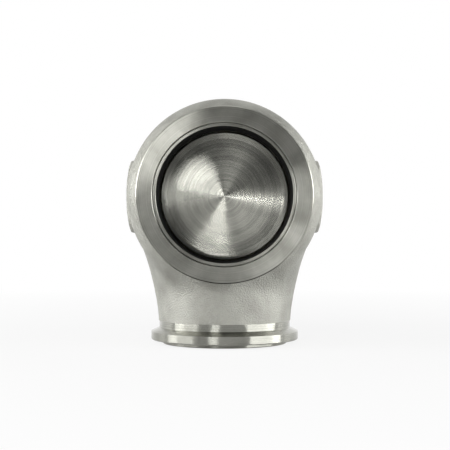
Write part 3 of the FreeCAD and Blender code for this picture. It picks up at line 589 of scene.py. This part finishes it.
def springs():
    """Three nested springs, each a coil of round wire in place of its CAD node."""
    tree = coil_tree()
    for node, (wire_share, turns) in SPRINGS.items():
        low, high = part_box(node)
        wire = (high.x - low.x) / 2 * wire_share
        coil = grown_piece(f"{node}_coil", tree, {
            "Coil Radius": high.x - wire, "Wire Radius": wire, "Turns": turns, "Start": low.y,
            "Length": high.y - low.y, "Material": oil_tempered})
        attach(coil, "housing")
        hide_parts(node)
        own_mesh(coil)


def rolling_diaphragm():
    """The moulded cloth diaphragm as a smooth piece of its own; it rides on no body."""
    shape = merged_copy("diaphragm")
    piece = mesh_piece("rolling_diaphragm", shape, None, silicone_cloth, 50, "diaphragm")
    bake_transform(piece)


# The nodes that keep their CAD shape, with their finishes.
FINISHES = {
    "seat_ring": turned_seat,
    "valve": turned_nose,
    "valve_guide": bronze,
    "stem_scraper": bronze,
    "heat_gasket": gasket_steel,
    "actuator_base": anodised,
    "actuator_cap": anodised,
    "port_plug": zinc,
    "stem_seal": nitrile,
    "snap_ring": blued,
    "lower_retainer": aluminium,
    "upper_retainer": aluminium,
    "retainer_oring": nitrile,
    "stem_washer": zinc,
    "stem_nut": zinc,
    "base_screws": black_oxide,
    "cap_screws": black_oxide,
}
for node, finish in FINISHES.items():
    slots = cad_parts[node].data.materials
    slots.clear()
    slots.append(finish)
rolling_diaphragm()
springs()


# The floor: its half width, its colour, and how white its backdrop is near the part and far from it.
FLOOR_HALF = 3.0
FLOOR_COLOUR = "E6E6E6"
FLOOR_WHITE = 0.86
WHITE_FROM, WHITE_FULL = 0.1, 0.5
# Mirrored rays see the white backdrop past this distance behind the part, or past this slope backwards.
BACKDROP_AT, BACKDROP_SLOPE = 0.05, 0.4
# The strength of the world's own light.
ROOM_LIGHT = 0.15
# Each lamp: name; place across, in front of and above the middle of the inlet face; width, height; watts.
LAMPS = [
    ("tall_strip", -0.30, 0.90, 0.375, 0.245, 0.62, 2.75),
    ("left_box", -0.80, 0.20, 0.27, 0.80, 0.60, 5.4),
    ("left_side", -0.90, 0.0, 0.20, 0.30, 0.40, 1.6),
    ("left_back", -0.80, -0.40, 0.20, 0.30, 0.40, 0.6),
    ("right_box", 0.72, 0.27, 0.09, 0.85, 0.32, 4.4),
    ("right_side", 0.90, 0.0, 0.20, 0.30, 0.40, 1.4),
    ("right_back", 0.80, -0.40, 0.20, 0.30, 0.40, 0.6),
    ("top_box", 0.0, 0.10, 0.90, 0.50, 0.50, 1.0),
]
# Three small cards that black cloth keeps off everything but the valve's nose.
NOSE_CARDS = [
    ("low_card", -0.018, 0.30, -0.062, 0.050, 0.014, 0.06),
    ("right_card", 0.070, 0.30, 0.0005, 0.020, 0.009, 0.028),
    ("left_card", -0.070, 0.30, 0.011, 0.020, 0.030, 0.022),
]


def soft_box(name, across, forward, above, width, height, power):
    """A rectangular lamp aimed at the middle of the inlet face, hidden from the camera itself."""
    lamp = bpy.data.lights.new(name, "AREA")
    lamp.shape = "RECTANGLE"
    lamp.size = width
    lamp.size_y = height
    lamp.energy = power
    piece = bpy.data.objects.new(name, lamp)
    bpy.context.scene.collection.objects.link(piece)
    aim = Vector((across, -forward, above))
    piece.location = Vector((0, INLET_Y, AXIS_Z)) + aim
    piece.rotation_euler = aim.to_track_quat("Z", "Y").to_euler()
    piece.visible_camera = False
    return piece


def backdrop_share(tree, behind):
    """How much of the plain white backdrop a ray sees: all of it from the camera, and what lies behind the
    object in gloss and glass.  The light that the backdrop sheds isn't part of it."""
    path = add(tree, "ShaderNodeLightPath").outputs
    gloss = add(tree, "ShaderNodeMath", {0: path["Is Glossy Ray"], 1: path["Is Transmission Ray"]},
                operation="MAXIMUM").outputs[0]
    mirrored = add(tree, "ShaderNodeMath", {0: gloss, 1: behind}, operation="MULTIPLY").outputs[0]
    return add(tree, "ShaderNodeMath", {0: path["Is Camera Ray"], 1: mirrored},
               operation="MAXIMUM").outputs[0]


def pale_floor():
    """A pale floor that keeps the part's shadow, and is white to the camera and in gloss."""
    mesh = bpy.data.meshes.new("floor")
    corners = [(x * FLOOR_HALF, y * FLOOR_HALF, 0) for x, y in ((-1, -1), (1, -1), (1, 1), (-1, 1))]
    mesh.from_pydata(corners, [], [(0, 1, 2, 3)])
    floor = bpy.data.objects.new("floor", mesh)
    bpy.context.scene.collection.objects.link(floor)
    material, tree = new_material("pale_floor")
    place = add(tree, "ShaderNodeTexCoord").outputs["Object"]
    away = add(tree, "ShaderNodeVectorMath", {0: place}, operation="LENGTH").outputs["Value"]
    depth = add(tree, "ShaderNodeSeparateXYZ", {0: place}).outputs["Y"]
    behind = add(tree, "ShaderNodeMapRange", {"Value": depth, "From Min": INLET_Y,
                                              "From Max": BACKDROP_AT}).outputs[0]
    whiteness = add(tree, "ShaderNodeMapRange", {"Value": away, "From Min": WHITE_FROM,
                                                 "From Max": WHITE_FULL,
                                                 "To Min": FLOOR_WHITE}).outputs[0]
    pale = add(tree, "ShaderNodeBsdfDiffuse", {"Color": linear(FLOOR_COLOUR)})
    white = add(tree, "ShaderNodeEmission", {"Color": (1, 1, 1, 1), "Strength": 1.0})
    share = add(tree, "ShaderNodeMath", {0: backdrop_share(tree, behind), 1: whiteness}, operation="MULTIPLY")
    mixed = add(tree, "ShaderNodeMixShader", {0: share.outputs[0], 1: pale.outputs[0], 2: white.outputs[0]})
    add(tree, "ShaderNodeOutputMaterial", {"Surface": mixed.outputs[0]})
    mesh.materials.append(material)


def white_room():
    """A world that is white to the camera and in gloss, and sheds a dim light."""
    world = bpy.data.worlds.new("studio")
    bpy.context.scene.world = world
    world.use_nodes = True
    tree = world.node_tree
    tree.nodes.clear()
    facing = add(tree, "ShaderNodeSeparateXYZ", {0: add(tree, "ShaderNodeTexCoord").outputs["Generated"]})
    behind = add(tree, "ShaderNodeMapRange", {"Value": facing.outputs["Y"],
                                              "From Max": BACKDROP_SLOPE}).outputs[0]
    dim = add(tree, "ShaderNodeBackground", {"Color": (1, 1, 1, 1), "Strength": ROOM_LIGHT})
    bright = add(tree, "ShaderNodeBackground", {"Color": (1, 1, 1, 1), "Strength": 1.0})
    mixed = add(tree, "ShaderNodeMixShader", {0: backdrop_share(tree, behind), 1: dim.outputs[0],
                                              2: bright.outputs[0]})
    add(tree, "ShaderNodeOutputWorld", {"Surface": mixed.outputs[0]})


def lamps():
    """Soft boxes round the part, and the cards that light only the valve's nose."""
    for lamp in LAMPS:
        soft_box(*lamp)
    nose_only = bpy.data.collections.new("nose_only")
    nose_only.objects.link(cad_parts["valve"])
    for card in NOSE_CARDS:
        soft_box(*card).light_linking.receiver_collection = nose_only


# The camera: its distance in front of the inlet face, place across and height, and the width that it sees.
CAMERA_DISTANCE, CAMERA_ACROSS, CAMERA_HEIGHT = 0.524, 0.2 * MM, 56.3 * MM
VIEW_WIDTH = 0.2052
# The sensor's width in millimetres, and the share of it by which the view is raised.
SENSOR = 36.0
FRAME_SHIFT = 1 / 150


def camera():
    """The camera stands level in front of the inlet, a little below the valve's axis."""
    lens = bpy.data.cameras.new("camera")
    lens.sensor_width = SENSOR
    lens.lens = SENSOR * CAMERA_DISTANCE / VIEW_WIDTH
    lens.shift_y = FRAME_SHIFT
    lens.clip_start = 0.01
    piece = bpy.data.objects.new("camera", lens)
    bpy.context.scene.collection.objects.link(piece)
    piece.location = (CAMERA_ACROSS, INLET_Y - CAMERA_DISTANCE, CAMERA_HEIGHT)
    piece.rotation_euler = (math.radians(90), 0, 0)
    bpy.context.scene.camera = piece


pale_floor()
white_room()
lamps()
camera()
bpy.context.scene.view_settings.view_transform = "Standard"
